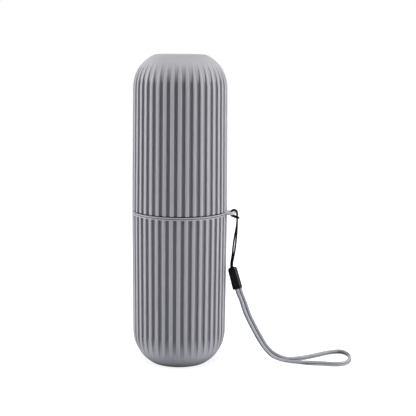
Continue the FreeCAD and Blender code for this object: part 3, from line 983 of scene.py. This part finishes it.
cord_line = spline_line(cord_route(), CORD_FINENESS)
strap_line = spline_line(strap_route(), STRAP_FINENESS)
clip = new_piece("sleeve_clip", clip_mesh(), clip_plastic())
cord = new_piece("braided_cord", cord_mesh(cord_line), black_braid())
strap = new_piece("knit_strap", strap_mesh(strap_line), strap_knit())
place(clip, "lanyard", "clip_plastic", "lanyard_clip")
place(cord, "lanyard", "cord_braid", "lanyard_cord")
place(strap, "lanyard", "strap_knit", "wrist_strap")


def declare_cord(line):
    lengths_along(line)[-1] * MM


declare_cord(cord_line)
declare_cord(strap_line)


# The camera, at the photograph's viewpoint
CAMERA_PLACE = (156.82, -695.21, 222.09)
CAMERA_FORWARD = (-0.19162, 0.96775, -0.16353)
CAMERA_ROLL = 0.525
CAMERA_LENS = 94.07
CAMERA_SENSOR = 36

forward = Vector(CAMERA_FORWARD).normalized()
level = forward.cross(Vector((0, 0, 1))).normalized()
upward = level.cross(forward)
roll = math.radians(CAMERA_ROLL)
right = level * math.cos(roll) + upward * math.sin(roll)
up = upward * math.cos(roll) - level * math.sin(roll)
camera = bpy.data.objects.new("camera", bpy.data.cameras.new("camera"))
bpy.context.scene.collection.objects.link(camera)
facing = Matrix((right, up, -forward)).transposed().to_4x4()
camera.matrix_world = Matrix.Translation(Vector(CAMERA_PLACE) * MM) @ facing
camera.data.sensor_width = CAMERA_SENSOR
camera.data.lens = CAMERA_LENS
bpy.context.scene.camera = camera


# The stage: a white floor, soft lamps at both sides and above; all its lengths are in metres

# The floor's glow to the camera and to glossy surfaces, and its tone, by distance from the case's middle;
# its darker tone under the case is a painted contact shadow
GLOW_DISTANCE = (0.03, 0.12)
GLOW = (0.86, 1)
MIRRORED_DISTANCE = (0.03, 0.14)
MIRRORED = (0, 0.9)
TONE_DISTANCE = (0.022, 0.036)
PAINTED_SHADOW_TONE = (0.2, 0.2, 0.22, 1)
TONE = (0.64, 0.66, 0.73, 1)
WHITE = (1, 1, 1, 1)


def strength_by_ray(tree, base, seen, mirrored):
    """A light strength of base, with seen added for camera and transmitted rays and mirrored for glossy."""
    path = node(tree, "ShaderNodeLightPath")
    strength = base
    for ray, level in (("Is Camera Ray", seen), ("Is Glossy Ray", mirrored), ("Is Transmission Ray", seen)):
        inputs = {0: path.outputs[ray], 1: level, 2: strength}
        strength = node(tree, "ShaderNodeMath", inputs, operation="MULTIPLY_ADD").outputs[0]
    return strength


def floor_material():
    """Pale, lit by the lamps, with a painted contact shadow under the case; what the camera sees of it is
    lifted to white away from the case.
    """
    material = bpy.data.materials.new("floor")
    material.use_nodes = True
    tree = material.node_tree
    tree.nodes.clear()
    place_on_floor = node(tree, "ShaderNodeTexCoord").outputs["Object"]
    away = node(tree, "ShaderNodeVectorMath", {0: place_on_floor}, operation="LENGTH").outputs["Value"]
    glow = remapped(tree, away, *GLOW_DISTANCE, *GLOW)
    mirrored = remapped(tree, away, *MIRRORED_DISTANCE, *MIRRORED)
    strength = strength_by_ray(tree, 0, glow, mirrored)
    white = node(tree, "ShaderNodeEmission", {"Color": WHITE, "Strength": strength})
    # Painted contact shadow: the paper is darker under the case and round its foot
    tone = colour_between(tree, remapped(tree, away, *TONE_DISTANCE, 0, 1), PAINTED_SHADOW_TONE, TONE)
    paper = node(tree, "ShaderNodeBsdfDiffuse", {"Color": tone})
    both = node(tree, "ShaderNodeAddShader", {0: white.outputs[0], 1: paper.outputs[0]})
    node(tree, "ShaderNodeOutputMaterial", {"Surface": both.outputs[0]})
    return material


# The floor runs past the horizon that the camera sees, a hair below the foot of the case
FLOOR_REACH = 60
FLOOR_LEVEL = -0.0001


def make_floor():
    builder = bmesh.new()
    bmesh.ops.create_grid(builder, x_segments=1, y_segments=1, size=FLOOR_REACH)
    mesh = bpy.data.meshes.new("floor")
    builder.to_mesh(mesh)
    builder.free()
    floor = new_piece("floor", mesh, floor_material())
    floor.location.z = FLOOR_LEVEL


LAMP_AIM = (0, 0, 0.1)
# Each lamp's place, its width and height, and its power in watts
LAMPS = {
    "left_lamp": ((-0.8, -0.28, 0.3), (0.5, 0.9), 7.8),
    "right_lamp": ((0.84, -0.12, 0.3), (0.5, 0.9), 7.6),
    "top_lamp": ((0.0, -0.1, 0.95), (0.7, 0.7), 3),
}


def make_lamp(name, place_at, size, power):
    data = bpy.data.lights.new(name, "AREA")
    data.shape = "RECTANGLE"
    data.size, data.size_y = size
    data.energy = power
    lamp = bpy.data.objects.new(name, data)
    bpy.context.scene.collection.objects.link(lamp)
    lamp.location = place_at
    lamp.rotation_euler = (Vector(LAMP_AIM) - Vector(place_at)).to_track_quat("-Z", "Y").to_euler()


# The light that comes from all round
AMBIENT = 0.05
# What glossy surfaces see of the room at the front, and over which part of the directions it fades in
FRONT_LEVEL = 0.2
FRONT_FADE = (-0.7, 0.1)


def make_world():
    """White to the camera on all sides; glossy surfaces see a dimmer room at the front, beyond the lamps."""
    world = bpy.data.worlds.new("studio")
    world.use_nodes = True
    tree = world.node_tree
    tree.nodes.clear()
    direction = node(tree, "ShaderNodeTexCoord").outputs["Generated"]
    depth = node(tree, "ShaderNodeSeparateXYZ", {"Vector": direction}).outputs["Y"]
    mirrored = remapped(tree, depth, *FRONT_FADE, FRONT_LEVEL, 1 - AMBIENT)
    strength = strength_by_ray(tree, AMBIENT, 1 - AMBIENT, mirrored)
    sky = node(tree, "ShaderNodeBackground", {"Color": WHITE, "Strength": strength})
    node(tree, "ShaderNodeOutputWorld", {"Surface": sky.outputs[0]})
    bpy.context.scene.world = world


make_floor()
for lamp_name, (lamp_place, lamp_size, lamp_power) in LAMPS.items():
    make_lamp(lamp_name, lamp_place, lamp_size, lamp_power)
make_world()
bpy.context.scene.view_settings.view_transform = "Standard"
